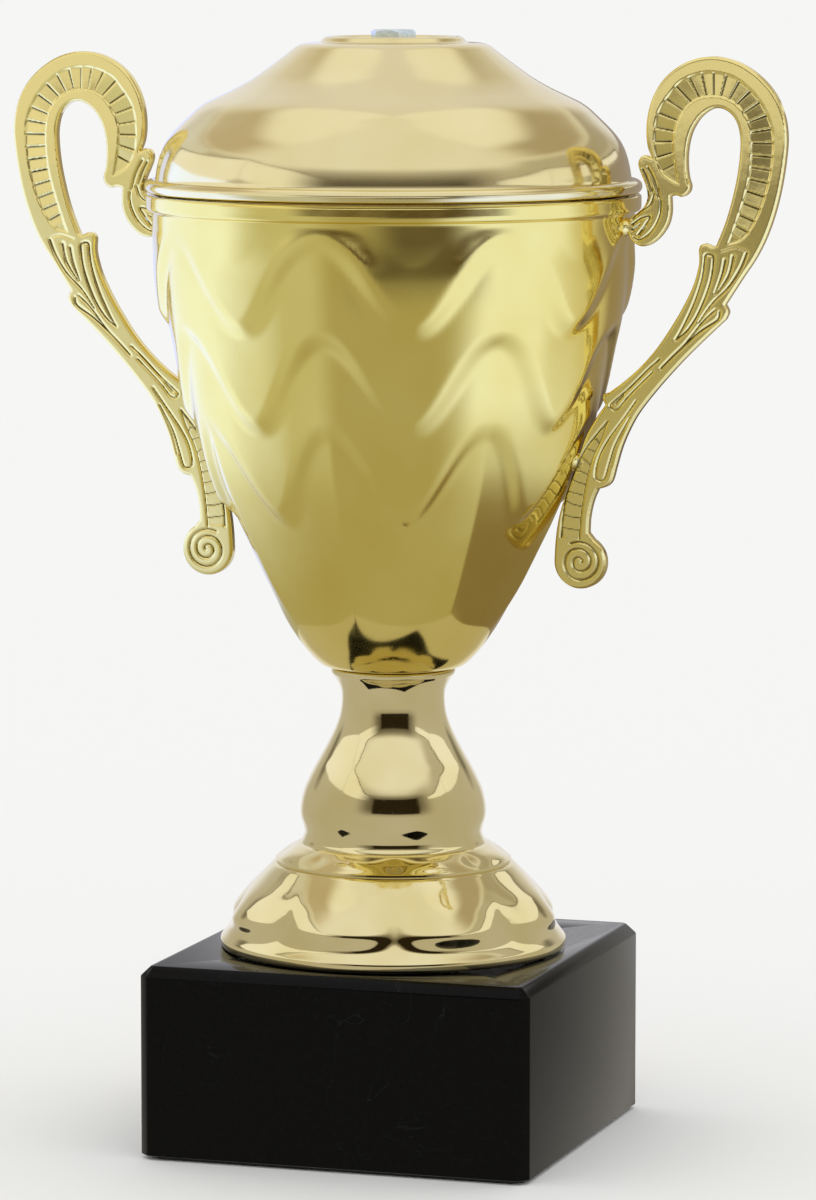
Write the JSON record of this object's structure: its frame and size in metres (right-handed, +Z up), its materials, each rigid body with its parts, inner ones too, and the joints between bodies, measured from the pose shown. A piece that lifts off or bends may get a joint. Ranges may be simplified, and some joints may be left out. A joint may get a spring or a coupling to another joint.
{
  "type": "cup trophy",
  "caption": "Gold presentation cup with a lift-off lid and two cast scroll handles, on a turned stem and bell foot bolted to a square black marble block.",
  "frame": {"origin": "centre of the underside of the felt under the marble block, on the surface that it stands on", "axes": "+Z up along the stem; -Y is the front face of the block; the two handles stand along +X and -X"},
  "size_m": [0.2004, 0.123, 0.2766],
  "materials": {
    "black_marble": "polished",
    "felt": "needled",
    "zinc_steel": "bright zinc plate",
    "gold_cup": "polished gold plate",
    "gold_lid": "polished pale gold plate",
    "gold_casting": "gold-plated zinc casting",
    "metallised_plastic": "vacuum-metallised, gold lacquer"
  },
  "bodies": {
    "trophy": {"marble_base": "black_marble", "base_felt": "felt", "tie_rod": "zinc_steel", "base_nut": "zinc_steel", "base_washer": "zinc_steel", "foot": "metallised_plastic", "stem": "metallised_plastic", "cup_bowl": "gold_cup", "cup_washer": "zinc_steel", "cup_nut": "zinc_steel", "handle_left": "gold_casting", "handle_right": "gold_casting", "handle_screws": "zinc_steel", "handle_washers": "zinc_steel"},
    "lid": {"lid_shell": "gold_lid", "lid_locating_ring": "gold_lid", "lid_bolt": "zinc_steel", "lid_washer": "zinc_steel", "lid_nut": "zinc_steel"}
  },
  "joints": [
    {"name": "lid_lift", "type": "slide", "parent": "trophy", "child": "lid", "axis": [0, 0, 1], "range_m": [0, 0.06]}
  ]
}
